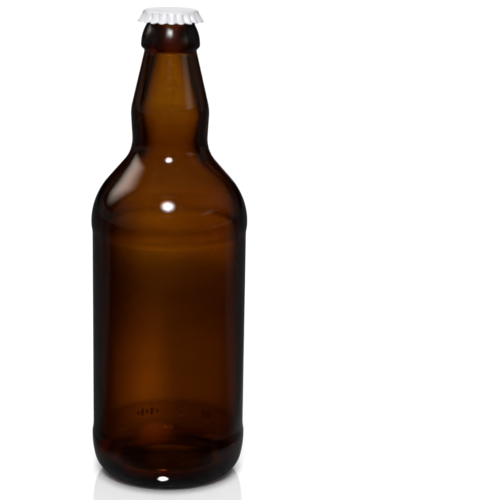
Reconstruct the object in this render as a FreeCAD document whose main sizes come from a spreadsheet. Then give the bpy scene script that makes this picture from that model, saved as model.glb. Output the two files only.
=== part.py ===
import FreeCAD, Part
import math
import os
import Sketcher

# A tall beer bottle of amber glass, empty, with a loose, uncrimped fluted metal cap on its mouth.
# Frame: origin at the centre of the circle the bottle stands on, +Z up the bottle's axis, millimetres.

Vector = FreeCAD.Vector
UP = Vector(0, 0, 1)

# Driving dimensions: alias, value, meaning.  Everything above the label panel hangs from the rim,
# so another height lengthens or shortens the panel, as between bottles of one family.
SIZES = [
    ("bottle_height", 234.5, "standing ring to sealing rim"),
    ("body_dia", 77.4, "diameter over the two contact rings"),
    ("panel_recess", 0.57, "label panel set in below the contact rings"),
    ("lower_ring_height", 19.5, "lower contact ring above the table"),
    ("ring_blend_radius", 16.0, "blend between a contact ring and the panel"),
    ("heel_radius", 11.2, "tight outer radius of the heel"),
    ("heel_run", 1.0, "further reach of the heel's long radius"),
    ("shoulder_radius", 33.0, "outer radius of the shoulder"),
    ("shoulder_slope", 41.0, "shoulder's steepest lean from the axis, degrees"),
    ("neck_root_radius", 16.6, "hollow radius where the shoulder meets the neck"),
    ("waist_dia", 36.8, "narrowest diameter of the neck root"),
    ("waist_drop", 12.4, "waist below the neck swell's crest"),
    ("swell_rise", 0.65, "neck swell's crest proud of the waist"),
    ("swell_drop", 50.3, "neck swell's crest below the rim"),
    ("swell_radius", 23.0, "outline radius of the neck swell"),
    ("neck_top_drop", 20.1, "top of the neck cone below the rim"),
    ("bead_dia", 28.5, "carrying bead under the finish"),
    ("bead_overhang", 1.57, "bead's crest proud of the neck's top"),
    ("bead_drop", 16.7, "bead's crest below the rim"),
    ("bead_radius", 2.2, "bead's lower outline radius"),
    ("bead_taper_radius", 19.5, "bead's long upper outline radius"),
    ("groove_radius", 1.3, "groove under the locking ring"),
    ("mouth_bore", 16.4, "bore at the mouth"),
    ("mouth_bore_depth", 12.0, "straight bore below the rim"),
    ("mouth_lip_radius", 1.3, "rounding of the bore's edge"),
    ("rim_flat", 0.8, "flat sealing width of the rim"),
    ("locking_radius", 3.0, "outline radius of the locking ring, that a crimped cap would grip"),
    ("throat_radius", 20.0, "blend from the straight bore into the neck"),
    ("body_wall", 3.3, "glass at the label panel"),
    ("shoulder_wall", 3.0, "glass in the round of the shoulder"),
    ("neck_wall", 2.8, "glass of the slope and neck"),
    ("base_wall", 5.0, "glass at the middle of the base"),
    ("base_edge_wall", 5.2, "lowest point of the inside above the table"),
    ("inner_heel_radius", 10.0, "inside radius of the heel"),
    ("push_up", 4.0, "height of the push-up under the base"),
    ("standing_width", 3.0, "width of the standing ring"),
    ("standing_edge_radius", 1.0, "rounding inside the standing ring"),
    ("cap_play", 0.05, "cap's disc proud of the locking ring"),
    ("cap_sheet", 0.25, "thickness of the cap's steel sheet"),
    ("cap_corner", 2.0, "outer radius between the cap's disc and skirt"),
    ("cap_depth", 6.0, "cap's top down to the tips of its flutes"),
    ("cap_flare", 29.0, "lean of the flutes from the axis, degrees"),
    ("crease_flare", 17.0, "lean of the creases between flutes, degrees"),
    ("cap_flutes", 21, "flutes round the skirt"),
    ("hem_scallop", 0.9, "hem at a crease above the hem at a flute"),
]

doc = FreeCAD.newDocument("BeerBottle")
sheet = doc.addObject("Spreadsheet::Sheet", "Sizes")
for row, (alias, amount, meaning) in enumerate(SIZES, start=1):
    sheet.set("A%d" % row, alias)
    sheet.set("B%d" % row, str(amount))
    sheet.setAlias("B%d" % row, alias)
    sheet.set("C%d" % row, meaning)
doc.recompute()


def size(alias):
    return float(getattr(sheet, alias))


def polar(centre, radius, degrees):
    """Point (radius from the axis, height) at an angle round a centre."""
    angle = math.radians(degrees)
    return (centre[0] + radius * math.cos(angle), centre[1] + radius * math.sin(angle))


def bearing(start, end):
    return math.degrees(math.atan2(end[1] - start[1], end[0] - start[0]))


def opening_angle(adjacent, hypotenuse):
    return math.degrees(math.acos(adjacent / hypotenuse))


def crossing_normal(first, first_radius, second, second_radius, side):
    """Direction from the first centre to where a line crossing between two circles touches it."""
    swing = opening_angle(first_radius + second_radius, math.dist(first, second))
    return bearing(first, second) + side * swing


class Outline:
    """A closed half-section on a body's XZ plane; a piece is (geometry, entry point, exit point)."""

    def __init__(self, body, name):
        plane = next(item for item in body.Origin.OriginFeatures if item.Role == "XZ_Plane")
        self.sketch = body.newObject("Sketcher::SketchObject", name)
        self.sketch.AttachmentSupport = (plane, [""])
        self.sketch.MapMode = "FlatFace"

    def constrain(self, *terms):
        return self.sketch.addConstraint(Sketcher.Constraint(*terms))

    def bind(self, name, formula, *terms):
        """One driving dimension, tied to the sheet."""
        index = self.constrain(*terms)
        self.sketch.renameConstraint(index, name)
        self.sketch.setExpression("Constraints." + name, formula)

    def line(self, start, end):
        segment = Part.LineSegment(Vector(*start, 0), Vector(*end, 0))
        return (self.sketch.addGeometry(segment, False), 1, 2)

    def arc(self, centre, radius, start, end):
        """Arc about a centre from one angle to another, in degrees; clockwise if they fall."""
        circle = Part.Circle(Vector(*centre, 0), UP, radius)
        low, high = sorted((math.radians(start), math.radians(end)))
        index = self.sketch.addGeometry(Part.ArcOfCircle(circle, low, high), False)
        return (index, 1, 2) if end > start else (index, 2, 1)

    def smooth(self, *pieces):
        """Each piece runs on from the one before, in the same direction."""
        for before, after in zip(pieces, pieces[1:]):
            self.constrain("Tangent", before[0], before[2], after[0], after[1])

    def corners(self, *pieces):
        for before, after in zip(pieces, pieces[1:]):
            self.constrain("Coincident", before[0], before[2], after[0], after[1])

    def crest(self, piece):
        """The arc ends level with its centre, so that the outline stands upright there."""
        self.constrain("Horizontal", piece[0], 3, piece[0], piece[2])

    def radius(self, name, piece, amount, formula):
        self.bind(name, formula, "Radius", piece[0], amount)

    def across(self, name, piece, point, amount, formula):
        self.bind(name, formula, "DistanceX", -1, 1, piece[0], point, amount)

    def above(self, name, piece, point, amount, formula):
        self.bind(name, formula, "DistanceY", -1, 1, piece[0], point, amount)


def turned(body, kind, name, outline):
    """Revolution or Groove of a half-section about the body's axis."""
    feature = body.newObject("PartDesign::" + kind, name)
    feature.Profile = outline.sketch
    feature.ReferenceAxis = (outline.sketch, ["V_Axis"])
    feature.Angle = 360
    doc.recompute()
    return feature


def ring_edge(feature, radius, height):
    """Name of the circular edge of that radius at that height."""
    for number, edge in enumerate(feature.Shape.Edges, start=1):
        if edge.Degenerated or not isinstance(edge.Curve, Part.Circle):
            continue
        at_height = math.isclose(edge.Curve.Center.z, height, abs_tol=1e-4)
        if at_height and math.isclose(edge.Curve.Radius, radius, abs_tol=1e-4):
            return "Edge%d" % number
    raise RuntimeError("no edge of radius %g at height %g" % (radius, height))


def rounded(body, name, radius_alias, edge_radius, edge_height):
    base = body.Tip
    fillet = body.newObject("PartDesign::Fillet", name)
    fillet.Base = (base, [ring_edge(base, edge_radius, edge_height)])
    fillet.Radius = size(radius_alias)
    fillet.setExpression("Radius", "Sizes." + radius_alias)
    doc.recompute()
    return fillet


# Places on the bottle that several sketches share
ring_r = size("body_dia") / 2
rim_z = size("bottle_height")
waist_r = size("waist_dia") / 2
swell_r = waist_r + size("swell_rise")
swell_z = rim_z - size("swell_drop")
waist_z = swell_z - size("waist_drop")
bead_r = size("bead_dia") / 2
bead_z = rim_z - size("bead_drop")
bore_r = size("mouth_bore") / 2
seal_r = bore_r + size("mouth_lip_radius") + size("rim_flat")
locking_r = seal_r + size("locking_radius")
standing_r = ring_r - size("heel_radius") - size("heel_run")

SWELL_Z = "Sizes.bottle_height - Sizes.swell_drop"
WAIST_Z = SWELL_Z + " - Sizes.waist_drop"
STANDING_R = "Sizes.body_dia / 2 - Sizes.heel_radius - Sizes.heel_run"
PANEL_R = "Sizes.body_dia / 2 - Sizes.panel_recess"

bottle = doc.addObject("PartDesign::Body", "Bottle")
bottle.Label = "bottle_glass"


def shoulder_and_neck(outline, wall, wall_formula, side_r, shoulder_radius, shoulder_formula):
    """Shoulder, slope, neck root and neck swell, set in by a wall from the outside of the glass.

    Returns the shoulder's arc, its start height, the last arc, and that arc's centre and radius.
    """
    slope = size("shoulder_slope")
    root_radius = size("neck_root_radius") + wall
    root_at = (waist_r - wall + root_radius, waist_z)
    swell_radius = size("swell_radius") - wall
    swell_at = (swell_r - wall - swell_radius, swell_z)
    flare = crossing_normal(swell_at, swell_radius, root_at, root_radius, 1)

    turned_in = (shoulder_radius + root_radius) * (1 - math.cos(math.radians(slope)))
    slope_width = side_r - (waist_r - wall) - turned_in
    slope_top = polar(root_at, root_radius, 180 + slope)
    slope_foot = (slope_top[0] + slope_width, slope_top[1] - slope_width / math.tan(math.radians(slope)))
    shoulder_at = polar(slope_foot, shoulder_radius, 180 + slope)

    shoulder = outline.arc(shoulder_at, shoulder_radius, 0, slope)
    ramp = outline.line(slope_foot, slope_top)
    root = outline.arc(root_at, root_radius, 180 + slope, 180)
    waist = outline.arc(root_at, root_radius, 180, 180 + flare)
    flank = outline.line(polar(root_at, root_radius, 180 + flare), polar(swell_at, swell_radius, flare))
    swell_low = outline.arc(swell_at, swell_radius, flare, 0)
    swell_high = outline.arc(swell_at, swell_radius, 0, slope / 3)
    outline.smooth(shoulder, ramp, root, waist, flank, swell_low, swell_high)

    outline.radius("ShoulderRadius", shoulder, shoulder_radius, shoulder_formula)
    outline.bind("ShoulderSlope", "90 + Sizes.shoulder_slope", "Angle", ramp[0], math.radians(90 + slope))
    outline.crest(root)
    outline.across("WaistRadius", root, root[2], waist_r - wall, "Sizes.waist_dia / 2" + wall_formula)
    outline.above("WaistHeight", root, root[2], waist_z, WAIST_Z)
    outline.radius("RootRadius", root, root_radius,
                   "Sizes.neck_root_radius" + wall_formula.replace("-", "+"))
    outline.constrain("Equal", root[0], waist[0])
    outline.crest(swell_low)
    outline.across("SwellAcross", swell_low, swell_low[2], swell_r - wall,
                   "Sizes.waist_dia / 2 + Sizes.swell_rise" + wall_formula)
    outline.above("SwellHeight", swell_low, swell_low[2], swell_z, SWELL_Z)
    outline.radius("SwellRadius", swell_low, swell_radius, "Sizes.swell_radius" + wall_formula)
    outline.constrain("Equal", swell_low[0], swell_high[0])
    return shoulder, shoulder_at[1], swell_high, swell_at, swell_radius


def outside_outline():
    outline = Outline(bottle, "OutsideOutline")

    # heel: a tight radius from the table runs into a long one that ends upright at the lower ring
    heel_radius = size("heel_radius")
    ring_z = size("lower_ring_height")
    run = size("heel_run")
    sweep_radius = heel_radius + run / 2 + (ring_z - heel_radius) ** 2 / (2 * run)
    heel_at = (standing_r, heel_radius)
    sweep_at = (ring_r - sweep_radius, ring_z)
    heel_end = bearing(sweep_at, heel_at)
    table = outline.line((0, 0), (standing_r, 0))
    heel = outline.arc(heel_at, heel_radius, -90, heel_end)
    sweep = outline.arc(sweep_at, sweep_radius, heel_end, 0)

    shoulder, shoulder_z, swell_high, swell_at, swell_radius = shoulder_and_neck(
        outline, 0, "", ring_r, size("shoulder_radius"), "Sizes.shoulder_radius")

    # label panel between two blends of equal arcs, one off each contact ring
    blend = size("ring_blend_radius")
    blend_turn = opening_angle(1 - size("panel_recess") / (2 * blend), 1)
    low_out = (ring_r - blend, ring_z)
    low_in = polar(low_out, 2 * blend, blend_turn)
    high_out = (ring_r - blend, shoulder_z)
    high_in = polar(high_out, 2 * blend, -blend_turn)
    panel_r = ring_r - size("panel_recess")
    lower_out = outline.arc(low_out, blend, 0, blend_turn)
    lower_in = outline.arc(low_in, blend, 180 + blend_turn, 180)
    panel = outline.line((panel_r, low_in[1]), (panel_r, high_in[1]))
    upper_in = outline.arc(high_in, blend, 180, 180 - blend_turn)
    upper_out = outline.arc(high_out, blend, -blend_turn, 0)

    # neck cone, then the bead with a small hollow under it
    neck_top = (bead_r - size("bead_overhang"), rim_z - size("neck_top_drop"))
    cone_side = crossing_normal(swell_at, swell_radius, neck_top, 0, -1)
    bead_radius = size("bead_radius")
    bead_at = (bead_r - bead_radius, bead_z)
    normal = polar((0, 0), 1, cone_side)
    offset = (neck_top[0] - bead_at[0], neck_top[1] - bead_at[1])
    lean = offset[0] * normal[0] + offset[1] * normal[1]
    hollow_radius = (math.hypot(*offset) ** 2 - bead_radius ** 2) / (2 * (bead_radius - lean))
    hollow_at = polar(neck_top, hollow_radius, cone_side)
    cone = outline.line(polar(swell_at, swell_radius, cone_side), neck_top)
    hollow = outline.arc(hollow_at, hollow_radius, 180 + cone_side, bearing(hollow_at, bead_at))
    bead = outline.arc(bead_at, bead_radius, bearing(bead_at, hollow_at), 0)

    # bead's taper, groove, locking ring and rim
    taper_radius = size("bead_taper_radius")
    taper_at = (bead_r - taper_radius, bead_z)
    groove_radius = size("groove_radius")
    lock_radius = size("locking_radius")
    lock_at = (seal_r, rim_z - lock_radius)
    to_groove = taper_radius + groove_radius
    across = math.dist(taper_at, lock_at)
    cosine_side = (to_groove ** 2 + across ** 2 - (lock_radius + groove_radius) ** 2) / (2 * across)
    groove_side = bearing(taper_at, lock_at) - opening_angle(cosine_side, to_groove)
    groove_at = polar(taper_at, to_groove, groove_side)
    taper = outline.arc(taper_at, taper_radius, 0, groove_side)
    groove = outline.arc(groove_at, groove_radius, 180 + groove_side, bearing(groove_at, lock_at))
    lock = outline.arc(lock_at, lock_radius, bearing(lock_at, groove_at), 90)
    rim = outline.line((seal_r, rim_z), (0, rim_z))
    axis = outline.line((0, rim_z), (0, 0))

    outline.smooth(table, heel, sweep, lower_out, lower_in, panel, upper_in, upper_out, shoulder)
    outline.smooth(swell_high, cone, hollow, bead, taper, groove, lock, rim)
    outline.corners(rim, axis, table)
    outline.constrain("Coincident", -1, 1, table[0], table[1])
    outline.constrain("Horizontal", table[0])
    outline.constrain("Horizontal", rim[0])
    outline.constrain("Vertical", axis[0])

    outline.across("StandingRadius", table, table[2], standing_r, STANDING_R)
    outline.radius("HeelRadius", heel, heel_radius, "Sizes.heel_radius")
    outline.crest(sweep)
    outline.across("LowerRing", sweep, sweep[2], ring_r, "Sizes.body_dia / 2")
    outline.above("LowerRingHeight", sweep, sweep[2], ring_z, "Sizes.lower_ring_height")
    outline.radius("BlendRadius", lower_out, blend, "Sizes.ring_blend_radius")
    for arc in (lower_in, upper_in, upper_out):
        outline.constrain("Equal", lower_out[0], arc[0])
    outline.constrain("Vertical", panel[0])
    outline.across("PanelRadius", panel, panel[1], panel_r, PANEL_R)
    outline.crest(upper_out)
    outline.across("UpperRing", upper_out, upper_out[2], ring_r, "Sizes.body_dia / 2")
    outline.across("NeckTopRadius", cone, cone[2], neck_top[0], "Sizes.bead_dia / 2 - Sizes.bead_overhang")
    outline.above("NeckTopHeight", cone, cone[2], neck_top[1], "Sizes.bottle_height - Sizes.neck_top_drop")
    outline.radius("BeadRadius", bead, bead_radius, "Sizes.bead_radius")
    outline.crest(bead)
    outline.across("BeadAcross", bead, bead[2], bead_r, "Sizes.bead_dia / 2")
    outline.above("BeadHeight", bead, bead[2], bead_z, "Sizes.bottle_height - Sizes.bead_drop")
    outline.radius("TaperRadius", taper, taper_radius, "Sizes.bead_taper_radius")
    outline.radius("GrooveRadius", groove, groove_radius, "Sizes.groove_radius")
    outline.radius("LockRadius", lock, lock_radius, "Sizes.locking_radius")
    outline.across("SealRadius", rim, rim[1], seal_r,
                   "Sizes.mouth_bore / 2 + Sizes.mouth_lip_radius + Sizes.rim_flat")
    outline.above("RimHeight", rim, rim[1], rim_z, "Sizes.bottle_height")
    return outline


def hollow_outline():
    outline = Outline(bottle, "HollowOutline")

    # floor: a low dome over the push-up, then the inside of the heel
    floor_z = size("push_up") + size("base_wall")
    heel_radius = size("inner_heel_radius")
    side_r = ring_r - size("panel_recess") - size("body_wall")
    heel_at = (side_r - heel_radius, size("base_edge_wall") + heel_radius)
    drop = heel_at[1] - floor_z
    dome_radius = (heel_at[0] ** 2 + drop ** 2 - heel_radius ** 2) / (2 * (heel_radius - drop))
    dome_at = (0, floor_z - dome_radius)
    dome_end = bearing(dome_at, heel_at)
    dome = outline.arc(dome_at, dome_radius, 90, dome_end)
    heel = outline.arc(heel_at, heel_radius, dome_end - 180, 0)

    shoulder, shoulder_z, swell_high, swell_at, swell_radius = shoulder_and_neck(
        outline, size("neck_wall"), " - Sizes.neck_wall", side_r,
        size("shoulder_radius") - size("shoulder_wall"), "Sizes.shoulder_radius - Sizes.shoulder_wall")
    side = outline.line((side_r, heel_at[1]), (side_r, shoulder_z))

    # neck, throat and straight mouth bore
    throat_radius = size("throat_radius")
    throat_at = (bore_r + throat_radius, rim_z - size("mouth_bore_depth"))
    cone_side = crossing_normal(swell_at, swell_radius, throat_at, throat_radius, -1)
    cone_top = polar(throat_at, throat_radius, 180 + cone_side)
    cone = outline.line(polar(swell_at, swell_radius, cone_side), cone_top)
    throat = outline.arc(throat_at, throat_radius, 180 + cone_side, 180)
    bore = outline.line((bore_r, throat_at[1]), (bore_r, rim_z))
    mouth = outline.line((bore_r, rim_z), (0, rim_z))
    axis = outline.line((0, rim_z), (0, floor_z))

    outline.smooth(dome, heel, side, shoulder)
    outline.smooth(swell_high, cone, throat, bore)
    outline.corners(bore, mouth, axis, dome)
    outline.constrain("Vertical", side[0])
    outline.constrain("Vertical", bore[0])
    outline.constrain("Horizontal", mouth[0])
    outline.constrain("PointOnObject", dome[0], dome[1], -2)
    outline.constrain("PointOnObject", dome[0], 3, -2)
    outline.constrain("Vertical", axis[0])

    outline.above("FloorHeight", dome, dome[1], floor_z, "Sizes.push_up + Sizes.base_wall")
    outline.radius("HeelRadius", heel, heel_radius, "Sizes.inner_heel_radius")
    outline.above("HeelHeight", heel, 3, heel_at[1], "Sizes.base_edge_wall + Sizes.inner_heel_radius")
    outline.across("SideRadius", side, side[1], side_r, PANEL_R + " - Sizes.body_wall")
    outline.radius("ThroatRadius", throat, throat_radius, "Sizes.throat_radius")
    outline.above("ThroatHeight", bore, bore[1], throat_at[1],
                  "Sizes.bottle_height - Sizes.mouth_bore_depth")
    outline.across("BoreRadius", bore, bore[1], bore_r, "Sizes.mouth_bore / 2")
    outline.above("RimHeight", bore, bore[2], rim_z, "Sizes.bottle_height")
    return outline


def push_up_outline():
    outline = Outline(bottle, "PushUpOutline")
    inner_r = standing_r - size("standing_width")
    rise = size("push_up")
    dome_radius = (inner_r ** 2 + rise ** 2) / (2 * rise)
    dome_at = (0, rise - dome_radius)
    table = outline.line((0, 0), (inner_r, 0))
    dome = outline.arc(dome_at, dome_radius, bearing(dome_at, (inner_r, 0)), 90)
    axis = outline.line((0, rise), (0, 0))
    outline.corners(table, dome, axis, table)
    outline.constrain("Coincident", -1, 1, table[0], table[1])
    outline.constrain("Horizontal", table[0])
    outline.constrain("Vertical", axis[0])
    outline.constrain("PointOnObject", dome[0], 3, -2)
    outline.across("InnerRadius", table, table[2], inner_r, STANDING_R + " - Sizes.standing_width")
    outline.above("Rise", dome, dome[2], rise, "Sizes.push_up")
    return outline


outside = turned(bottle, "Revolution", "Outside", outside_outline())
solid_volume = outside.Shape.Volume
hollow = turned(bottle, "Groove", "Hollow", hollow_outline())
hollow_volume = solid_volume - hollow.Shape.Volume
push_up = turned(bottle, "Groove", "PushUp", push_up_outline())
push_up_volume = hollow.Shape.Volume - push_up.Shape.Volume
rounded(bottle, "MouthLip", "mouth_lip_radius", bore_r, rim_z)
rounded(bottle, "StandingEdge", "standing_edge_radius", standing_r - size("standing_width"), 0)
if hollow_volume < 1000 or push_up_volume < 100:
    raise RuntimeError("a groove cut nothing")


# ---- the cap: one pressed disc with a corrugated skirt, resting on the rim ----
# Its sheet is two lofted walls, closed by the hem's edge and by the two faces of the flat disc.

STEPS_PER_FLUTE = 6


def cap_ring(place):
    """Closed curve round the cap; place gives radius and drop from the lobe, 1 on a flute, 0 in a crease."""
    flutes = int(size("cap_flutes"))
    steps = flutes * STEPS_PER_FLUTE
    points = []
    for step in range(steps):
        angle = 2 * math.pi * step / steps
        radius, drop = place(math.sqrt((1 + math.cos(flutes * angle)) / 2))
        points.append(Vector(radius * math.cos(angle), radius * math.sin(angle), -drop))
    curve = Part.BSplineCurve()
    curve.interpolate(Points=points, PeriodicFlag=True)
    return Part.Wire(curve.toShape())


def cap_wall(inset):
    """One face of the sheet from the disc's edge to the hem, set in from the outside by inset."""
    corner = size("cap_corner")
    flute_lean = math.tan(math.radians(size("cap_flare")))
    crease_lean = math.tan(math.radians(size("crease_flare")))
    turn = math.radians(90 - size("cap_flare"))
    disc_r = locking_r + size("cap_play") - corner * math.sin(turn)

    def corner_place(share):
        angle = turn * share
        return (disc_r + (corner - inset) * math.sin(angle), corner - (corner - inset) * math.cos(angle))

    skirt_r, skirt_drop = corner_place(1)

    def skirt_place(lobe, share):
        fall = share * (size("cap_depth") - skirt_drop - size("hem_scallop") * (1 - lobe))
        lean = crease_lean + (flute_lean - crease_lean) * lobe
        return (skirt_r + fall * lean, skirt_drop + fall)

    rings = [cap_ring(lambda lobe: corner_place(share)) for share in (0, 0.5, 1)]
    rings += [cap_ring(lambda lobe: skirt_place(lobe, share)) for share in (0.5, 1)]
    return Part.makeLoft(rings, False, False)


def rim_edges(wall):
    """The wall's two closed edges, hem first."""
    closed = [edge for edge in wall.Edges if edge.isClosed()]
    return sorted((closed[0], closed[-1]), key=lambda edge: edge.BoundBox.ZMin)


def cap_shape():
    outside_wall = cap_wall(0)
    inside_wall = cap_wall(size("cap_sheet"))
    outer_hem, outer_top = rim_edges(outside_wall)
    inner_hem, inner_top = rim_edges(inside_wall)
    faces = outside_wall.Faces + inside_wall.Faces
    faces.append(Part.makeRuledSurface(outer_hem, inner_hem))
    faces += [Part.Face(Part.Wire([edge])) for edge in (outer_top, inner_top)]
    shell = Part.makeShell(faces)
    shell.sewShape()
    return Part.makeSolid(shell)


cap = doc.addObject("Part::Feature", "Cap")
cap.Label = "fluted_cap"
cap.Shape = cap_shape()
cap.Placement = FreeCAD.Placement(Vector(0, 0, rim_z + size("cap_sheet")), FreeCAD.Rotation())


# ---- check and write ----

doc.recompute()
for item in doc.Objects:
    if "Invalid" in item.State or "Error" in item.State:
        raise RuntimeError("%s failed: %s" % (item.Name, item.State))

nodes = [bottle, cap]
for node in nodes:
    shape = node.Shape
    if shape.isNull() or not shape.isValid() or len(shape.Solids) != 1:
        raise RuntimeError("%s is not one valid solid" % node.Label)

os.makedirs("parts", exist_ok=True)
for node in nodes:
    node.Shape.exportStep(os.path.join("parts", node.Label + ".step"))
    print("%s: volume %.1f mm3, z %.2f to %.2f" % (
        node.Label, node.Shape.Volume, node.Shape.BoundBox.ZMin, node.Shape.BoundBox.ZMax))
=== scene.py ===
import bpy
import math
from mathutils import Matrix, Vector, noise


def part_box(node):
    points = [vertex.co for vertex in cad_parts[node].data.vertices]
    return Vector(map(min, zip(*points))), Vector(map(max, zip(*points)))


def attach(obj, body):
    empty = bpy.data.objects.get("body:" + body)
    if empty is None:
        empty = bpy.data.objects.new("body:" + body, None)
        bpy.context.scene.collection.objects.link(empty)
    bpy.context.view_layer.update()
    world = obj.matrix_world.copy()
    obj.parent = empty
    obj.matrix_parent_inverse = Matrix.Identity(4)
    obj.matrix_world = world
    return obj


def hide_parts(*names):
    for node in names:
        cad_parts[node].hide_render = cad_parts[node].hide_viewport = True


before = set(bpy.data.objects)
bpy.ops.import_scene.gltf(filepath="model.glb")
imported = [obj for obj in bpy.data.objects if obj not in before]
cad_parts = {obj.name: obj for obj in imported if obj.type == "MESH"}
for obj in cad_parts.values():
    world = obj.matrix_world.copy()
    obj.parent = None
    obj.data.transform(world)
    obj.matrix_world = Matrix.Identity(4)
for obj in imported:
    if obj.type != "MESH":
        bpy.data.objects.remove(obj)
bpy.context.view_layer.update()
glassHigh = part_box("bottle_glass")[1]
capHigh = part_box("fluted_cap")[1]
mm = 0.001
print("frame loaded, bottle %.1f mm tall" % (glassHigh.z / mm))


def newMesh(name, points, faces, smooth=True):
    mesh = bpy.data.meshes.new(name)
    mesh.from_pydata(points, [], faces)
    mesh.validate()
    for face in mesh.polygons:
        face.use_smooth = smooth
    mesh.update()
    thing = bpy.data.objects.new(name, mesh)
    bpy.context.scene.collection.objects.link(thing)
    return thing


def newPlate(name, width, height):
    x, y = width / 2, height / 2
    corners = [(-x, -y, 0), (x, -y, 0), (x, y, 0), (-x, y, 0)]
    return newMesh(name, corners, [(0, 1, 2, 3)], smooth=False)


def newMaterial(name):
    material = bpy.data.materials.new(name)
    material.use_nodes = True
    tree = material.node_tree
    tree.nodes.clear()
    return material, tree, tree.nodes.new("ShaderNodeOutputMaterial")


def addNode(tree, kind, inputs=None, **settings):
    node = tree.nodes.new(kind)
    for key, value in settings.items():
        setattr(node, key, value)
    for key, value in (inputs or {}).items():
        node.inputs[key].default_value = value
    return node


def feed(tree, socket, value):
    # a number, a colour or another node's output
    if hasattr(value, "links"):
        tree.links.new(value, socket)
    else:
        socket.default_value = value


def addMath(tree, operation, first, second, clamp=False):
    node = addNode(tree, "ShaderNodeMath", operation=operation, use_clamp=clamp)
    feed(tree, node.inputs[0], first)
    feed(tree, node.inputs[1], second)
    return node.outputs[0]


def addScaled(tree, value, scale, offset):
    node = addNode(tree, "ShaderNodeMath", {2: offset}, operation="MULTIPLY_ADD")
    feed(tree, node.inputs[0], value)
    feed(tree, node.inputs[1], scale)
    return node.outputs[0]


def addMix(tree, factor, first, second):
    node = addNode(tree, "ShaderNodeMix", data_type="RGBA")
    for number, value in ((0, factor), (6, first), (7, second)):
        feed(tree, node.inputs[number], value)
    return node.outputs[2]


def addRange(tree, value, low, high, start=0.0, end=1.0, kind="LINEAR"):
    # start at low, end at high
    node = addNode(tree, "ShaderNodeMapRange", {
        "From Min": low, "From Max": high, "To Min": start, "To Max": end}, interpolation_type=kind)
    tree.links.new(value, node.inputs[0])
    return node.outputs[0]


def addStep(tree, value, low, high):
    # 0 at low, 1 at high, smooth between
    return addRange(tree, value, low, high, kind="SMOOTHSTEP")


def addVector(tree, operation, vector, amount=None):
    node = addNode(tree, "ShaderNodeVectorMath", operation=operation)
    tree.links.new(vector, node.inputs[0])
    if amount is not None:
        node.inputs[1].default_value = amount
    return node.outputs["Value" if operation == "LENGTH" else "Vector"]


def addNoise(tree, vector, scale, detail, roughness):
    node = addNode(tree, "ShaderNodeTexNoise", {
        "Scale": scale, "Detail": detail, "Roughness": roughness})
    tree.links.new(vector, node.inputs["Vector"])
    return node.outputs[0]


def addBump(tree, height, strength, distance):
    node = addNode(tree, "ShaderNodeBump", {"Strength": strength, "Distance": distance})
    tree.links.new(height, node.inputs["Height"])
    return node.outputs[0]


def addPlace(tree, output="Object"):
    # the place itself, and its three parts
    place = addNode(tree, "ShaderNodeTexCoord").outputs[output]
    split = addNode(tree, "ShaderNodeSeparateXYZ")
    tree.links.new(place, split.inputs[0])
    return place, split.outputs


def aimAt(thing, place, target, roll=0):
    thing.location = place
    turn = (Vector(target) - Vector(place)).to_track_quat("-Z", "Y").to_euler()
    thing.rotation_euler = turn
    thing.rotation_euler.rotate_axis("Z", roll)


def bell(value, width):
    return math.exp(-(value / width) ** 2)


bottle = {
    # outside, mm and degrees; a drop is measured down from the rim
    "height": glassHigh.z / mm, "ring": glassHigh.x / mm, "panelRecess": 0.57,
    "lowerRing": 19.5, "ringBlend": 16.0, "heel": 11.2, "heelRun": 1.0,
    "shoulder": 33.0, "slope": 41.0, "neckRoot": 16.6, "waist": 18.4, "waistDrop": 12.4,
    "swellRise": 0.65, "swellDrop": 50.3, "swell": 23.0,
    "neckTopDrop": 20.1, "bead": 14.25, "beadOver": 1.57, "beadDrop": 16.7, "beadRound": 2.2,
    "beadTaper": 19.5, "groove": 1.3, "seal": 10.3, "lockRound": 3.0,
    "pushUp": 4.0, "standWidth": 3.0, "standRound": 1.0,
    # inside
    "bore": 8.2, "boreDepth": 12.0, "lipRound": 1.3, "throat": 20.0,
    "bodyWall": 3.3, "shoulderWall": 3.0, "neckWall": 2.8,
    "floorTop": 9.0, "innerLow": 5.2, "innerHeel": 10.0,
    # thicker glass inside the neck root: most, its height, reach above and below, lowest height
    "rootExtra": (1.0, 172.0, 10.0, 21.0, 110),
    # how far the blown inside wanders, and its swells: waves across and along, start, share
    "waver": 0.34,
    "swells": ((26, 11, (3.1, 7.7, 1.9), 1.5), (62, 24, (9.2, 0.4, 5.5), 0.35)),
    "waverFade": 20, "evenDrop": 16,
    # mould seams on both sides: proud, width, reach, turn from the sides, ends
    "seamProud": 0.07, "seamWidth": 0.45, "seamReach": 1.5, "seamTurn": 0.05, "seamEnds": (3, 1),
    # knurls under the standing ring
    "knurls": 72, "knurlLift": 0.22, "knurlMiddle": 25.2, "knurlWidth": 0.9, "knurlReach": 1.2,
    # columns stand closer round the back, where the mould code is
    "sideColumns": 140, "backColumns": 190, "backSector": 78.0,
}

outsideSteps = {
    "dome": 9, "standEdge": 4, "stand": 4, "heel": 18, "sweep": 24, "lowBlend": 6, "panel": 12,
    "highBlend": 5, "shoulder": 16, "slope": 5, "root": 12, "flare": 3, "swell": 10, "cone": 10,
    "hollow": 5, "bead": 7, "taper": 7, "groove": 5, "lock": 9, "rim": 1,
}

insideSteps = {
    "lip": 5, "bore": 4, "throat": 5, "cone": 9, "swell": 8, "flare": 3, "root": 10, "slope": 4,
    "shoulder": 13, "side": 22, "heel": 14, "dome": 8,
}


def polar(centre, radius, degrees):
    angle = math.radians(degrees)
    return (centre[0] + radius * math.cos(angle), centre[1] + radius * math.sin(angle))


def bearing(start, end):
    return math.degrees(math.atan2(end[1] - start[1], end[0] - start[0]))


def openingAngle(adjacent, hypotenuse):
    return math.degrees(math.acos(adjacent / hypotenuse))


def crossingNormal(first, firstRadius, second, secondRadius, side):
    swing = openingAngle(firstRadius + secondRadius, math.dist(first, second))
    return bearing(first, second) + side * swing


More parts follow.
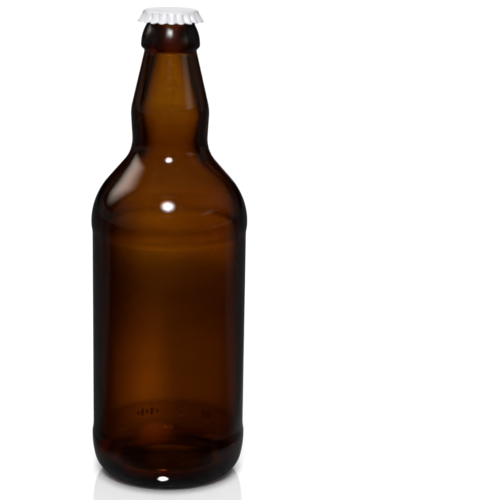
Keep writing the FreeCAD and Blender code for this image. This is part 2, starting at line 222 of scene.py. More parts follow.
def arcRows(rows, centre, radius, start, end, count):
    for step in range(1, count + 1):
        rows.append(polar(centre, radius, start + (end - start) * step / count))


def lineRows(rows, end, count):
    start = rows[-1]
    for step in range(1, count + 1):
        share = step / count
        rows.append((start[0] + (end[0] - start[0]) * share,
                     start[1] + (end[1] - start[1]) * share))


def shoulderAndNeck(size, wall, sideRadius, shoulderRadius):
    # centres and angles shared by the outside and, set in by the wall, the inside
    slope = size["slope"]
    swellHeight = size["height"] - size["swellDrop"]
    rootRadius = size["neckRoot"] + wall
    rootAt = (size["waist"] - wall + rootRadius, swellHeight - size["waistDrop"])
    swellRadius = size["swell"] - wall
    swellAt = (size["waist"] + size["swellRise"] - wall - swellRadius, swellHeight)
    flare = crossingNormal(swellAt, swellRadius, rootAt, rootRadius, 1)
    turnedIn = (shoulderRadius + rootRadius) * (1 - math.cos(math.radians(slope)))
    slopeWidth = sideRadius - (size["waist"] - wall) - turnedIn
    slopeTop = polar(rootAt, rootRadius, 180 + slope)
    slopeFoot = (slopeTop[0] + slopeWidth, slopeTop[1] - slopeWidth / math.tan(math.radians(slope)))
    return {"slope": slope, "rootAt": rootAt, "rootRadius": rootRadius, "swellAt": swellAt,
            "swellRadius": swellRadius, "flare": flare, "slopeTop": slopeTop,
            "shoulderAt": polar(slopeFoot, shoulderRadius, 180 + slope),
            "shoulderRadius": shoulderRadius}


def outsideRows(size, steps):
    # from the middle of the push-up out and up to the rim
    ring, height = size["ring"], size["height"]
    standing = ring - size["heel"] - size["heelRun"]
    inner = standing - size["standWidth"]
    rise, edge = size["pushUp"], size["standRound"]
    domeRadius = (inner ** 2 + rise ** 2) / (2 * rise)
    domeAt = (0, rise - domeRadius)
    edgeAt = (math.sqrt((domeRadius + edge) ** 2 - (edge - domeAt[1]) ** 2), edge)
    domeEnd = bearing(domeAt, edgeAt)
    rows = [(0, rise)]
    arcRows(rows, domeAt, domeRadius, 90, domeEnd, steps["dome"])
    arcRows(rows, edgeAt, edge, 180 + domeEnd, 270, steps["standEdge"])
    lineRows(rows, (standing, 0), steps["stand"])

    run = size["heelRun"]
    sweepRadius = size["heel"] + run / 2 + (size["lowerRing"] - size["heel"]) ** 2 / (2 * run)
    heelAt = (standing, size["heel"])
    sweepAt = (ring - sweepRadius, size["lowerRing"])
    heelEnd = bearing(sweepAt, heelAt)
    arcRows(rows, heelAt, size["heel"], -90, heelEnd, steps["heel"])
    arcRows(rows, sweepAt, sweepRadius, heelEnd, 0, steps["sweep"])

    neck = shoulderAndNeck(size, 0, ring, size["shoulder"])
    blend = size["ringBlend"]
    blendTurn = openingAngle(1 - size["panelRecess"] / (2 * blend), 1)
    lowOut = (ring - blend, size["lowerRing"])
    lowIn = polar(lowOut, 2 * blend, blendTurn)
    highOut = (ring - blend, neck["shoulderAt"][1])
    highIn = polar(highOut, 2 * blend, -blendTurn)
    arcRows(rows, lowOut, blend, 0, blendTurn, steps["lowBlend"])
    arcRows(rows, lowIn, blend, 180 + blendTurn, 180, steps["lowBlend"])
    lineRows(rows, (ring - size["panelRecess"], highIn[1]), steps["panel"])
    arcRows(rows, highIn, blend, 180, 180 - blendTurn, steps["highBlend"])
    arcRows(rows, highOut, blend, -blendTurn, 0, steps["highBlend"])
    arcRows(rows, neck["shoulderAt"], neck["shoulderRadius"], 0, neck["slope"], steps["shoulder"])
    lineRows(rows, neck["slopeTop"], steps["slope"])
    arcRows(rows, neck["rootAt"], neck["rootRadius"], 180 + neck["slope"], 180 + neck["flare"],
            steps["root"])

    neckTop = (size["bead"] - size["beadOver"], height - size["neckTopDrop"])
    coneSide = crossingNormal(neck["swellAt"], neck["swellRadius"], neckTop, 0, -1)
    beadRound = size["beadRound"]
    beadAt = (size["bead"] - beadRound, height - size["beadDrop"])
    normal = polar((0, 0), 1, coneSide)
    offset = (neckTop[0] - beadAt[0], neckTop[1] - beadAt[1])
    lean = offset[0] * normal[0] + offset[1] * normal[1]
    hollowRadius = (math.hypot(*offset) ** 2 - beadRound ** 2) / (2 * (beadRound - lean))
    hollowAt = polar(neckTop, hollowRadius, coneSide)
    lineRows(rows, polar(neck["swellAt"], neck["swellRadius"], neck["flare"]), steps["flare"])
    arcRows(rows, neck["swellAt"], neck["swellRadius"], neck["flare"], coneSide, steps["swell"])
    lineRows(rows, neckTop, steps["cone"])
    arcRows(rows, hollowAt, hollowRadius, 180 + coneSide, bearing(hollowAt, beadAt),
            steps["hollow"])
    arcRows(rows, beadAt, beadRound, bearing(beadAt, hollowAt), 0, steps["bead"])

    taper, groove, lock = size["beadTaper"], size["groove"], size["lockRound"]
    taperAt = (size["bead"] - taper, height - size["beadDrop"])
    lockAt = (size["seal"], height - lock)
    toGroove = taper + groove
    across = math.dist(taperAt, lockAt)
    cosineSide = (toGroove ** 2 + across ** 2 - (lock + groove) ** 2) / (2 * across)
    grooveSide = bearing(taperAt, lockAt) - openingAngle(cosineSide, toGroove)
    grooveAt = polar(taperAt, toGroove, grooveSide)
    arcRows(rows, taperAt, taper, 0, grooveSide, steps["taper"])
    arcRows(rows, grooveAt, groove, 180 + grooveSide, bearing(grooveAt, lockAt), steps["groove"])
    arcRows(rows, lockAt, lock, bearing(lockAt, grooveAt), 90, steps["lock"])
    lineRows(rows, (size["bore"] + size["lipRound"], height), steps["rim"])
    return rows


def insideRows(size, steps):
    # from the rim down to the middle of the floor
    height = size["height"]
    side = size["ring"] - size["panelRecess"] - size["bodyWall"]
    neck = shoulderAndNeck(size, size["neckWall"], side, size["shoulder"] - size["shoulderWall"])
    lip, throat = size["lipRound"], size["throat"]
    lipAt = (size["bore"] + lip, height - lip)
    throatAt = (size["bore"] + throat, height - size["boreDepth"])
    swellAt, swellRadius = neck["swellAt"], neck["swellRadius"]
    rootAt, rootRadius = neck["rootAt"], neck["rootRadius"]
    coneSide = crossingNormal(swellAt, swellRadius, throatAt, throat, -1)
    rows = [(lipAt[0], height)]
    arcRows(rows, lipAt, lip, 90, 180, steps["lip"])
    lineRows(rows, (size["bore"], throatAt[1]), steps["bore"])
    arcRows(rows, throatAt, throat, 180, 180 + coneSide, steps["throat"])
    lineRows(rows, polar(swellAt, swellRadius, coneSide), steps["cone"])
    arcRows(rows, swellAt, swellRadius, coneSide, neck["flare"], steps["swell"])
    lineRows(rows, polar(rootAt, rootRadius, 180 + neck["flare"]), steps["flare"])
    arcRows(rows, rootAt, rootRadius, 180 + neck["flare"], 180 + neck["slope"], steps["root"])
    lineRows(rows, polar(neck["shoulderAt"], neck["shoulderRadius"], neck["slope"]), steps["slope"])
    arcRows(rows, neck["shoulderAt"], neck["shoulderRadius"], neck["slope"], 0, steps["shoulder"])

    heel = size["innerHeel"]
    heelAt = (side - heel, size["innerLow"] + heel)
    drop = heelAt[1] - size["floorTop"]
    domeRadius = (heelAt[0] ** 2 + drop ** 2 - heel ** 2) / (2 * (heel - drop))
    domeAt = (0, size["floorTop"] - domeRadius)
    domeEnd = bearing(domeAt, heelAt)
    lineRows(rows, (side, heelAt[1]), steps["side"])
    arcRows(rows, heelAt, heel, 0, domeEnd - 180, steps["heel"])
    arcRows(rows, domeAt, domeRadius, domeEnd, 90, steps["dome"])
    return rows[1:]


def columnAngles(size):
    half = size["backSector"] / 2
    rest = 360 - 2 * half
    angles = []
    for step in range(size["backColumns"]):
        angles.append(90 - half + 2 * half * step / size["backColumns"])
    for step in range(size["sideColumns"]):
        angles.append(90 + half + rest * step / size["sideColumns"])
    return [math.radians(angle) for angle in angles]


mouldCode = {
    # raised marks round the back of the heel, in mm; places in degrees from the middle of the back
    "proud": 0.8, "low": 12.5, "high": 22, "reach": 37, "perDegree": 0.66,
    "bars": (-33.0, -29.6, -26.2), "barMiddle": 16.6, "barHalf": 1.9, "barWidth": 0.40,
    "dots": 6, "dotsAt": -8.0, "dotsMiddle": 17.4, "dotsCircle": 1.9, "dotsTurn": 12,
    "dotWidth": 0.45,
    "strokes": (11.0, 15.4, 19.8, 24.2, 28.6), "strokeMiddle": 17.0, "strokeHalf": (0.5, 1.5),
    "strokeWidth": 0.45,
}


def markHeight(code, degrees, height):
    # three bars, a ring of dots, a row of short and long strokes
    best = 0.0
    for place in code["bars"]:
        across = (degrees - place) * code["perDegree"]
        along = max(0.0, abs(height - code["barMiddle"]) - code["barHalf"])
        best = max(best, bell(math.hypot(across, along), code["barWidth"]))
    for dot in range(code["dots"]):
        turn = math.radians(360 / code["dots"] * dot + code["dotsTurn"])
        across = (degrees - code["dotsAt"]) * code["perDegree"]
        across -= code["dotsCircle"] * math.cos(turn)
        along = height - code["dotsMiddle"] - code["dotsCircle"] * math.sin(turn)
        best = max(best, bell(math.hypot(across, along), code["dotWidth"]))
    for index, place in enumerate(code["strokes"]):
        across = (degrees - place) * code["perDegree"]
        along = max(0.0, abs(height - code["strokeMiddle"]) - code["strokeHalf"][index % 2])
        best = max(best, bell(math.hypot(across, along), code["strokeWidth"]))
    return code["proud"] * best


def innerGrow(size, spot, radius, height):
    # the blown inside is uneven, in long slow swells drawn out along the axis
    wander = 0.0
    for across, along, start, share in size["swells"]:
        place = Vector((spot.x * across, spot.y * across, spot.z * along)) + Vector(start)
        wander += noise.noise(place) * share
    fade = min(1, max(0, (size["height"] - size["evenDrop"] - height) / size["waverFade"]))
    grow = size["waver"] * wander * (fade * min(1, radius / size["waverFade"]))
    most, middle, above, below, lowest = size["rootExtra"]
    if height > lowest:
        grow -= most * bell(height - middle, above if height > middle else below)
    return grow


def outerGrow(size, code, angle, radius, height):
    grow = 0.0
    degrees = math.degrees(angle) - 90
    if code["low"] < height < code["high"] and abs(degrees) < code["reach"]:
        grow += markHeight(code, degrees, height)
    low, drop = size["seamEnds"]
    if low < height < size["height"] - drop:
        seam = min(abs(math.sin(angle - size["seamTurn"])), 1) * radius
        if seam < size["seamReach"]:
            grow += size["seamProud"] * bell(seam, size["seamWidth"])
    return grow


def knurlLift(size, angle, radius, height):
    away = radius - size["knurlMiddle"]
    if height != 0 or abs(away) >= size["knurlReach"]:
        return 0.0
    wave = max(0, math.sin(angle * size["knurls"]))
    return size["knurlLift"] * wave * bell(away, size["knurlWidth"])


def makeBottle(size, code):
    outside, inside = outsideRows(size, outsideSteps), insideRows(size, insideSteps)
    angles = columnAngles(size)
    rows = outside + inside
    columns = len(angles)
    points, faces = [(0, 0, rows[0][1] * mm)], []
    for number, (radius, height) in enumerate(rows[1:-1], start=1):
        for angle in angles:
            lift = 0.0
            if number >= len(outside):
                spot = Vector((radius * math.cos(angle), radius * math.sin(angle), height)) * mm
                grow = innerGrow(size, spot, radius, height)
            else:
                grow = outerGrow(size, code, angle, radius, height)
                lift = knurlLift(size, angle, radius, height)
            points.append(((radius + grow) * math.cos(angle) * mm,
                           (radius + grow) * math.sin(angle) * mm, (height + lift) * mm))
    points.append((0, 0, rows[-1][1] * mm))
    last = len(points) - 1
    for column in range(columns):
        following = (column + 1) % columns
        faces.append((0, 1 + following, 1 + column))
        for row in range(len(rows) - 3):
            base, above = 1 + row * columns, 1 + (row + 1) * columns
            faces.append((base + column, base + following, above + following, above + column))
        top = 1 + (len(rows) - 3) * columns
        faces.append((top + column, top + following, last))
    return newMesh("amber_bottle", points, faces)


amber = {
    "ior": 1.52, "density": 1100.0, "tint": (0.736, 0.545, 0.0, 1),
    "smooth": 0.012,
    # scuffs on both contact rings and the standing ring: height and half width, mm
    "scuffed": 0.16, "scuffs": ((bottle["lowerRing"], 3.2), (131.0, 3.0), (0.0, 1.2)),
    "grain": (900.0, 4.0, 0.7), "flecks": (0.52, 0.72),
    # the finish is dulled by handling, from here up
    "hazy": 0.21, "hazeFrom": (0.2115, 0.2165),
    "skin": (120.0, 2.0, 0.5), "skinBump": (0.03, 0.0004),
}


def makeAmber(look):
    material, tree, output = newMaterial("amber_glass")
    shader = addNode(tree, "ShaderNodeBsdfPrincipled", {
        "Base Color": (1, 1, 1, 1), "IOR": look["ior"], "Transmission Weight": 1.0})
    place, (_, _, up) = addPlace(tree)
    rub = 0.0
    for height, width in look["scuffs"]:
        away = addMath(tree, "ABSOLUTE", addMath(tree, "SUBTRACT", up, height * mm), 0.0)
        share = addMath(tree, "DIVIDE", away, width * mm)
        band = addMath(tree, "SUBTRACT", 1.0, share, clamp=True)
        rub = addMath(tree, "ADD", rub, band, clamp=True)
    flecks = addRange(tree, addNoise(tree, place, *look["grain"]), *look["flecks"])
    worn = addMath(tree, "MULTIPLY", rub, flecks)
    rough = addScaled(tree, worn, look["scuffed"], look["smooth"])
    dulled = addMath(tree, "MULTIPLY", addStep(tree, up, *look["hazeFrom"]), look["hazy"])
    tree.links.new(addMath(tree, "ADD", rough, dulled), shader.inputs["Roughness"])
    skin = addNoise(tree, place, *look["skin"])
    tree.links.new(addBump(tree, skin, *look["skinBump"]), shader.inputs["Normal"])
    soak = addNode(tree, "ShaderNodeVolumeAbsorption", {
        "Color": look["tint"], "Density": look["density"]})
    tree.links.new(shader.outputs[0], output.inputs["Surface"])
    tree.links.new(soak.outputs[0], output.inputs["Volume"])
    return material


bottlePiece = makeBottle(bottle, mouldCode)
bottlePiece.data.materials.append(makeAmber(amber))
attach(bottlePiece, "root")
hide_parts("bottle_glass")
print("amber bottle turned:", len(bottlePiece.data.polygons), "faces")


cap = {
    # mm and degrees
    "flutes": 21, "sheet": 0.25, "corner": 2.0, "depth": 6.0,
    "discEdge": 13.35, "flare": 29.0, "creaseFlare": 17.0, "scallop": 0.9,
    "flute": 0.35, "pinch": 0.60, "curl": 0.30, "lift": 0.03,
    # how the skirt bends: powers of the way down it, and where each form starts or ends
    "creaseSoft": 0.015, "creaseBend": 1.3, "fluteBend": 1.15,
    "bulgeRun": 1.05, "bulgeShape": 0.7,
    "pinchSide": 0.5, "pinchDepth": 1.5, "pinchEnd": 0.9, "pinchShape": 0.8,
    "curlFrom": 0.6, "tipFrom": 0.7, "tipRise": 0.8, "hemRound": 0.012,
    "columnsPerFlute": 18, "cornerRows": 8, "skirtRows": 14, "discRows": (0.25, 0.5, 0.75, 0.92),
}


def capDisc(size):
    return size["discEdge"] - size["corner"] * math.sin(math.radians(90 - size["flare"]))


def capPoint(size, inset, angle, down):
    # down: 0 to 1 round the corner, 1 to 2 along the skirt
    corner = size["corner"]
    turned = min(down, 1.0) * math.radians(90 - size["flare"])
    radius = capDisc(size) + (corner - inset) * math.sin(turned)
    drop = corner - (corner - inset) * math.cos(turned)
    if down > 1:
        share = down - 1
        soft = size["creaseSoft"]
        lobe = math.sqrt((1 + math.cos(size["flutes"] * angle)) / 2 * (1 - soft) + soft)
        fall = size["depth"] - drop - size["scallop"] * (1 - lobe)
        low = math.tan(math.radians(size["creaseFlare"]))
        high = math.tan(math.radians(size["flare"]))
        # the skirt drops steeply first and flares at the hem; the creases are pinched in
        radius += fall * (low * share ** size["creaseBend"]
                          + (high - low) * lobe * share ** size["fluteBend"])
        swing = math.sin(math.pi * min(1, share * size["bulgeRun"]))
        radius += size["flute"] * (lobe - 0.5) * swing ** size["bulgeShape"]
        crease = 1 - abs(math.cos(size["flutes"] * angle / 2)) ** size["pinchSide"]
        swing = math.sin(math.pi * min(1, share / size["pinchEnd"]))
        radius -= size["pinch"] * crease ** size["pinchDepth"] * swing ** size["pinchShape"]
        out = max(0, share - size["curlFrom"]) / (1 - size["curlFrom"])
        tip = max(0, share - size["tipFrom"]) / (1 - size["tipFrom"])
        radius += size["curl"] * lobe * out ** 2
        drop += fall * share - size["curl"] * size["tipRise"] * lobe * tip ** 2
    return radius, drop


def makeCap(size):
    top = capHigh.z / mm + size["lift"]
    columns = size["flutes"] * size["columnsPerFlute"]
    corner, skirt = size["cornerRows"], size["skirtRows"]
    downs = [step / corner for step in range(corner + 1)]
    downs += [1 + step / skirt for step in range(1, skirt + 1)]
    discs = [capDisc(size) * share for share in size["discRows"]]
    rows = [("disc", 0.0, radius) for radius in discs]
    rows += [("wall", 0.0, down) for down in downs]
    rows += [("wall", size["sheet"] / 2, 2 + size["hemRound"])]
    rows += [("wall", size["sheet"], down) for down in reversed(downs)]
    rows += [("disc", size["sheet"], radius) for radius in reversed(discs)]
    points, faces = [(0, 0, top * mm)], []
    for kind, inset, value in rows:
        for column in range(columns):
            angle = 2 * math.pi * column / columns
            radius, drop = value, inset
            if kind == "wall":
                radius, drop = capPoint(size, inset, angle, value)
            points.append((radius * math.cos(angle) * mm, radius * math.sin(angle) * mm,
                           (top - drop) * mm))
    points.append((0, 0, (top - size["sheet"]) * mm))
    last = len(points) - 1
    for column in range(columns):
        following = (column + 1) % columns
        faces.append((0, 1 + column, 1 + following))
        for row in range(len(rows) - 1):
            base, below = 1 + row * columns, 1 + (row + 1) * columns
            faces.append((base + column, below + column, below + following, base + following))
        base = 1 + (len(rows) - 1) * columns
        faces.append((base + following, base + column, last))
    piece = newMesh("white_cap", points, faces)
    bare = piece.data.attributes.new("bare", "FLOAT", "POINT")   # 1 where the steel shows
    firstInside = 1 + (len(discs) + len(downs)) * columns
    for index in range(len(points)):
        bare.data[index].value = 1.0 if index >= firstInside else 0.0
    return piece


lacquer = {
    "colour": (0.79, 0.785, 0.80, 1), "dulled": (0.71, 0.705, 0.72, 1),
    "steel": (0.42, 0.41, 0.40, 1),
    "ior": 1.5, "coat": 0.35, "coatRough": 0.2,
    "cloud": (260.0, 3.0, 0.6), "cloudRough": (0.3, 0.7, 0.30, 0.40),
    "steelEdge": (0.35, 0.65),
    "peel": (1500.0, 1.0, 0.5), "peelBump": (0.12, 0.0001),
}


def makeLacquer(look):
    material, tree, output = newMaterial("white_lacquer")
    shader = addNode(tree, "ShaderNodeBsdfPrincipled", {
        "IOR": look["ior"], "Coat Weight": look["coat"], "Coat Roughness": look["coatRough"]})
    place = addNode(tree, "ShaderNodeTexCoord").outputs["Object"]
    cloud = addNoise(tree, place, *look["cloud"])
    bare = addNode(tree, "ShaderNodeAttribute", attribute_name="bare")
    steel = addRange(tree, bare.outputs["Fac"], *look["steelEdge"])
    paint = addMix(tree, cloud, look["colour"], look["dulled"])
    tree.links.new(addMix(tree, steel, paint, look["steel"]), shader.inputs["Base Color"])
    tree.links.new(steel, shader.inputs["Metallic"])
    tree.links.new(addRange(tree, cloud, *look["cloudRough"]), shader.inputs["Roughness"])
    peel = addNoise(tree, place, *look["peel"])
    tree.links.new(addBump(tree, peel, *look["peelBump"]), shader.inputs["Normal"])
    tree.links.new(shader.outputs[0], output.inputs["Surface"])
    return material


capPiece = makeCap(cap)
capPiece.data.materials.append(makeLacquer(lacquer))
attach(capPiece, "root")
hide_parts("fluted_cap")
print("white cap pressed:", len(capPiece.data.polygons), "faces")


studio = {
    "floorHalf": 5.0,
    "paper": (0.80, 0.80, 0.80, 1), "floorIor": 2.8, "floorRough": 0.05,
    # the even glow of the lit paper, left out round the foot as a painted contact shadow where the
    # bottle touches it
    "cameraLift": 0.41, "contactShadeRim": (0.0315, 0.0405),
    # painted reflection: only reflections see the floor as a narrow grey sheet, dark round it, a
    # little lighter far to the sides
    "sheetMiddle": 0.016, "sheetHalf": 0.078, "sheetFront": -0.045, "sheetBlur": 0.02,
    "sheetGrey": (0.17, 0.17, 0.17, 1), "beyond": 0.004,
    "beyondSide": 0.085, "sideBack": (-0.01, 0.05), "sideAcross": (0.03, 0.10),
    # through the glass: a lit strip that widens as it runs back, dark to both sides
    "leftEdge": (-0.026, -0.160), "rightEdge": (0.045, 0.20, 0.13), "edgeBlur": (0.024, 0.10),
    "flank": 0.03, "flankTurn": (78, 62),
    "blotch": (13.0, 1.0, 0.5), "blotchTone": (0.5, 0.75),
    # its darker parts, painted shade: how much, and where each starts and ends on the way back
    "shade": 0.66, "shadeNear": (0.12, 0.33), "shadeFar": (0.54, 0.36),
    "farShade": 0.20, "farShadeNear": (0.55, 0.95), "farShadeFar": (1.25, 1.00),
    "dim": 0.58, "dimEdge": (-0.004, -0.061), "dimBlur": (-0.012, 0.016), "dimBack": (0.46, 0.10),
    "nearShade": 0.62, "nearShadeBack": (0.125, 0.050), "warmth": 0.20, "warmBack": (0.50, 0.30),
    "under": 0.92, "underRim": (0.046, 0.036), "underFront": (-0.030, -0.012),
    # light gathered by the glass falls in a patch behind the heel
    "patch": 0.85, "patchAt": (-0.010, 0.042, 0), "patchHalf": (0.018, 0.040, 1),
}


def paintedReflectionFloor(tree, room, across, back, awayFrom):
    blur = room["sheetBlur"]
    aside = addMath(tree, "ABSOLUTE", awayFrom(room["sheetMiddle"], 0.0), 0.0)
    onSheet = addMath(tree, "MULTIPLY",
                      addStep(tree, aside, room["sheetHalf"] + blur, room["sheetHalf"] - blur),
                      addStep(tree, back, room["sheetFront"] - blur, room["sheetFront"] + blur))
    far = addMath(tree, "MULTIPLY", addStep(tree, back, *room["sideBack"]),
                  addStep(tree, addMath(tree, "ABSOLUTE", across, 0.0), *room["sideAcross"]))
    dark = addScaled(tree, far, room["beyondSide"], room["beyond"])
    return addMix(tree, onSheet, dark, room["sheetGrey"])


def outsideStrip(tree, room, across, back, awayFrom):
    # how far outside the strip, in widths of its blurred edge
    leftOut = addMath(tree, "MULTIPLY", awayFrom(*room["leftEdge"]), -1.0)
    edge, slope, most = room["rightEdge"]
    rightAt = addMath(tree, "MINIMUM", addScaled(tree, back, slope, edge), most)
    rightOut = addMath(tree, "SUBTRACT", across, rightAt)
    width, growth = room["edgeBlur"]
    blurred = addScaled(tree, addMath(tree, "MAXIMUM", back, 0.0), growth, width)
    share = addMath(tree, "DIVIDE", addMath(tree, "MAXIMUM", leftOut, rightOut), blurred)
    start, end = room["flankTurn"]
    turn = addMath(tree, "ARCTAN2", addMath(tree, "ABSOLUTE", across, 0.0), back)
    return addMath(tree, "MULTIPLY", addStep(tree, share, -1.0, 1.0),
                   addStep(tree, turn, math.radians(start), math.radians(end)))


def floorThroughGlass(tree, room, place, reach, across, back, awayFrom):
    def lessen(tone, mask, share):
        loss = addMath(tree, "MULTIPLY", mask, share)
        return addMath(tree, "MULTIPLY", tone, addMath(tree, "SUBTRACT", 1.0, loss))

    tone = addScaled(tree, addNoise(tree, place, *room["blotch"]), *room["blotchTone"])
    # painted shade: a band where the bottle's shadow lies behind it, and a darker band farther back
    for name in ("shade", "farShade"):
        mask = addMath(tree, "MULTIPLY", addStep(tree, back, *room[name + "Near"]),
                       addStep(tree, back, *room[name + "Far"]))
        tone = lessen(tone, mask, room[name])
    # nearer, painted shade: the right half, the part close to the bottle and what is under it lie
    # in the bottle's own shade
    dim = addMath(tree, "MULTIPLY", addStep(tree, awayFrom(*room["dimEdge"]), *room["dimBlur"]),
                  addStep(tree, back, *room["dimBack"]))
    tone = lessen(tone, dim, room["dim"])
    tone = lessen(tone, addStep(tree, back, *room["nearShadeBack"]), room["nearShade"])
    under = addMath(tree, "MULTIPLY", addStep(tree, reach, *room["underRim"]),
                    addStep(tree, back, *room["underFront"]))
    tone = lessen(tone, under, room["under"])
    offset = addVector(tree, "SUBTRACT", place, room["patchAt"])
    away = addVector(tree, "LENGTH", addVector(tree, "DIVIDE", offset, room["patchHalf"]))
    patch = addMath(tree, "MULTIPLY", addStep(tree, away, 1.0, 0.0), room["patch"])
    tone = addMath(tree, "MAXIMUM", tone, patch)
    warm = addMath(tree, "MULTIPLY", addStep(tree, back, *room["warmBack"]), room["warmth"])
    green = addMath(tree, "MULTIPLY", tone, addMath(tree, "SUBTRACT", 1.0, warm))
    warmed = addNode(tree, "ShaderNodeCombineColor")
    for socket, value in zip(warmed.inputs, (tone, green, green)):
        tree.links.new(value, socket)
    flank = outsideStrip(tree, room, across, back, awayFrom)
    return addMix(tree, flank, warmed.outputs[0], (room["flank"],) * 3 + (1,))


def makeFloor(room):
    floor = newPlate("table_sheet", 2 * room["floorHalf"], 2 * room["floorHalf"])
    material, tree, output = newMaterial("white_sheet")
    rays = addNode(tree, "ShaderNodeLightPath").outputs
    place, (across, back, _) = addPlace(tree)
    reach = addVector(tree, "LENGTH", place)

    def awayFrom(middle, lean):
        moved = addMath(tree, "SUBTRACT", across, middle)
        return addMath(tree, "SUBTRACT", moved, addMath(tree, "MULTIPLY", back, lean))

    matt = addNode(tree, "ShaderNodeBsdfDiffuse")
    inGloss = paintedReflectionFloor(tree, room, across, back, awayFrom)
    # painted reflection: glossy rays see the grey sheet on dark in place of the white paper
    sheet = addMix(tree, rays["Is Glossy Ray"], room["paper"], inGloss)
    tree.links.new(sheet, matt.inputs["Color"])
    lit = addNode(tree, "ShaderNodeEmission", {"Strength": 1.0})
    strip = floorThroughGlass(tree, room, place, reach, across, back, awayFrom)
    tree.links.new(strip, lit.inputs["Color"])
    paper = addNode(tree, "ShaderNodeBsdfPrincipled", {
        "Base Color": room["paper"], "Roughness": room["floorRough"], "IOR": room["floorIor"]})
    lift = addNode(tree, "ShaderNodeEmission", {"Color": (1, 1, 1, 1)})
    # painted contact shadow: no glow close to the foot
    rim = addStep(tree, reach, *room["contactShadeRim"])
    tree.links.new(addMath(tree, "MULTIPLY", rim, room["cameraLift"]), lift.inputs["Strength"])
    seen = addNode(tree, "ShaderNodeAddShader")
    tree.links.new(paper.outputs[0], seen.inputs[0])
    tree.links.new(lift.outputs[0], seen.inputs[1])
    shown = matt
    for ray, choice in (("Is Transmission Ray", lit), ("Is Camera Ray", seen)):
        mix = addNode(tree, "ShaderNodeMixShader")
        tree.links.new(rays[ray], mix.inputs[0])
        tree.links.new(shown.outputs[0], mix.inputs[1])
        tree.links.new(choice.outputs[0], mix.inputs[2])
        shown = mix
    tree.links.new(shown.outputs[0], output.inputs["Surface"])
    floor.data.materials.append(material)


air = {
    "room": 0.004, "fill": (0.34, 0.34, 0.36, 1),
    # in reflections the white sweep stands behind, the walls and the ceiling are dull
    "sweep": (1, 1, 1, 1), "sweepAcross": (0.24, 0.17), "sweepBack": (0.70, 0.85),
    "sides": 0.08, "sidesFrom": (0.55, 0.95), "ceiling": 0.03, "ceilingFrom": (0.70, 0.92),
    # through the glass the corners to both sides of the sweep are dark
    "through": 0.95, "corner": 0.10, "cornerAcross": (0.12, 0.25), "cornerBack": (0.20, 0.45),
}


def makeWorld(tones):
    world = bpy.data.worlds.new("studio_air")
    bpy.context.scene.world = world
    world.use_nodes = True
    tree = world.node_tree
    tree.nodes.clear()
    output = addNode(tree, "ShaderNodeOutputWorld")
    rays = addNode(tree, "ShaderNodeLightPath").outputs
    _, (across, back, up) = addPlace(tree, "Generated")
    side = addMath(tree, "ABSOLUTE", across, 0.0)
    behind = addMath(tree, "MULTIPLY", addStep(tree, side, *tones["sweepAcross"]),
                     addStep(tree, back, *tones["sweepBack"]))
    walls = addMath(tree, "MULTIPLY", addStep(tree, side, *tones["sidesFrom"]), tones["sides"])
    above = addMath(tree, "MULTIPLY", addStep(tree, up, *tones["ceilingFrom"]), tones["ceiling"])
    room = addMath(tree, "ADD", addMath(tree, "ADD", walls, above), tones["room"])
    gloss = addMix(tree, behind, room, tones["sweep"])
    corner = addMath(tree, "MULTIPLY", addStep(tree, side, *tones["cornerAcross"]),
                     addStep(tree, back, *tones["cornerBack"]))
    through = addScaled(tree, corner, tones["corner"] - tones["through"], tones["through"])
    colour = addMix(tree, rays["Is Glossy Ray"], tones["fill"], gloss)
    colour = addMix(tree, rays["Is Transmission Ray"], colour, through)
    colour = addMix(tree, rays["Is Camera Ray"], colour, (1, 1, 1, 1))
    backdrop = addNode(tree, "ShaderNodeBackground", {"Strength": 1.0})
    tree.links.new(colour, backdrop.inputs["Color"])
    tree.links.new(backdrop.outputs[0], output.inputs["Surface"])


lamps = {
    "overhead": {"place": (0.10, 0.10, 1.30), "aim": (0, 0, 0.1), "across": 0.9, "watts": 2.5},
    "key": {"place": (0.0, -0.575, 0.637), "aim": (0, 0, 0.155), "across": 0.22, "watts": 3.3},
}


def makeLamps(table):
    for name, lamp in table.items():
        light = bpy.data.lights.new(name, "AREA")
        light.shape = "ELLIPSE"
        light.size = light.size_y = lamp["across"]
        light.energy = lamp["watts"]
        thing = bpy.data.objects.new(name, light)
        bpy.context.scene.collection.objects.link(thing)
        aimAt(thing, lamp["place"], lamp["aim"])
        thing.visible_camera = False
        thing.visible_glossy = False
        thing.visible_transmission = False


wideBeam = (0.6, 0.35)   # slant at which a card goes dark, and at which it is full

cards = {
    # lamp faces that only reflections show
    "spark": {"place": (0.0, -0.575, 0.637), "aim": (0, 0, 0.155), "size": (0.42, 0.42),
              "strength": 60.0, "colour": (1, 1, 1, 1), "steepness": 3.0, "beam": wideBeam},
    "halo": {"place": (0.0, -0.59, 0.653), "aim": (0, 0, 0.155), "size": (0.60, 0.66),
             "strength": 4.0, "colour": (1, 0.95, 0.88, 1), "steepness": 1.5, "beam": wideBeam},
    "left": {"place": (-0.684, 0.249, 0.766), "aim": (0, 0, 0.155), "size": (0.72, 1.15),
             "strength": 4.6, "colour": (1, 0.85, 0.72, 1), "steepness": 1.0, "beam": wideBeam},
    "right": {"place": (0.80, -0.36, 0.387), "aim": (0, 0, 0.20), "size": (0.66, 0.44),
              "strength": 0.95, "colour": (1, 0.84, 0.68, 1), "steepness": 1.0, "beam": wideBeam},
    # lies on the table before the heel; its narrow beam leans back to the glass
    "heelGlint": {"place": (-0.001, -0.0425, 0.0008), "aim": (-0.001, -0.0425, 0.5),
                  "size": (0.009, 0.008), "strength": 60.0, "colour": (1, 1, 1, 1),
                  "steepness": 1.0, "beam": (0.040, 0.025), "beamLean": (0.0, 0.574, 0.819)},
    # a black flag keeps the right face off the shoulder
    "flag": {"place": (0.27, -0.12, 0.196), "aim": (0, 0, 0.196), "size": (0.40, 0.088),
             "strength": 0.0, "colour": (0, 0, 0, 1), "steepness": 1.0, "beam": wideBeam},
}


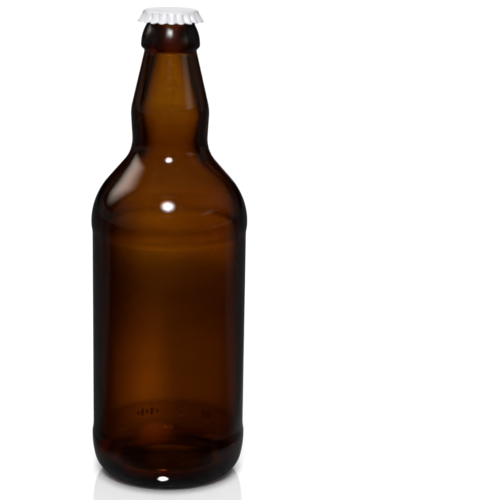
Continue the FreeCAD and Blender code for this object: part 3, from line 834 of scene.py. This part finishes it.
def makeCardLight(name, card):
    width, height = card["size"]
    material, tree, output = newMaterial("card_" + name)
    place = addNode(tree, "ShaderNodeTexCoord").outputs["Object"]
    spread = addVector(tree, "MULTIPLY", place, (2 / width, 2 / height, 0))
    reach = addVector(tree, "LENGTH", spread)
    fade = addMath(tree, "POWER", addStep(tree, reach, 1.0, 0.0), card["steepness"])
    # only the first mirror in a ray's way shows the card, and only its lit face
    depth = addNode(tree, "ShaderNodeLightPath").outputs["Glossy Depth"]
    fade = addMath(tree, "MULTIPLY", fade, addMath(tree, "LESS_THAN", depth, 1.5))
    lit = addNode(tree, "ShaderNodeNewGeometry").outputs["Backfacing"]
    fade = addMath(tree, "MULTIPLY", fade, lit)
    slant = addNode(tree, "ShaderNodeLayerWeight", {"Blend": 0.5})
    beam = addStep(tree, slant.outputs["Facing"], *card["beam"])
    fade = addMath(tree, "MULTIPLY", fade, beam)
    glow = addNode(tree, "ShaderNodeEmission", {"Color": card["colour"]})
    tree.links.new(addMath(tree, "MULTIPLY", fade, card["strength"]), glow.inputs["Strength"])
    face = glow
    if "beamLean" in card:
        x, y, z = card["beamLean"]
        lean = addNode(tree, "ShaderNodeCombineXYZ", {"X": x, "Y": y, "Z": z})
        tree.links.new(lean.outputs[0], slant.inputs["Normal"])
        # clear outside its beam
        clear = addNode(tree, "ShaderNodeBsdfTransparent")
        face = addNode(tree, "ShaderNodeAddShader")
        tree.links.new(glow.outputs[0], face.inputs[0])
        tree.links.new(clear.outputs[0], face.inputs[1])
    tree.links.new(face.outputs[0], output.inputs["Surface"])
    return material


def makeCards(table):
    for name, card in table.items():
        plate = newPlate("card_" + name, *card["size"])
        plate.data.materials.append(makeCardLight(name, card))
        aimAt(plate, card["place"], card["aim"])
        plate.visible_camera = False
        plate.visible_diffuse = False
        plate.visible_shadow = False


makeFloor(studio)
makeWorld(air)
makeLamps(lamps)
makeCards(cards)
print("studio set")


shot = {
    "distance": 0.80, "pitch": 14.0, "sideways": 0.0403, "lookHeight": 0.1160, "roll": 1.08,
    "lens": 115.344, "sensor": 36.0, "clip": (0.05, 50),
}


def makeCamera(view):
    data = bpy.data.cameras.new("camera")
    data.sensor_width = view["sensor"]
    data.lens = view["lens"]
    data.clip_start, data.clip_end = view["clip"]
    camera = bpy.data.objects.new("camera", data)
    bpy.context.scene.collection.objects.link(camera)
    pitch = math.radians(view["pitch"])
    look = Vector((view["sideways"], 0, view["lookHeight"]))
    place = look + Vector((0, -math.cos(pitch), math.sin(pitch))) * view["distance"]
    aimAt(camera, place, look, math.radians(view["roll"]))
    bpy.context.scene.camera = camera


makeCamera(shot)
bpy.context.scene.view_settings.view_transform = "Standard"
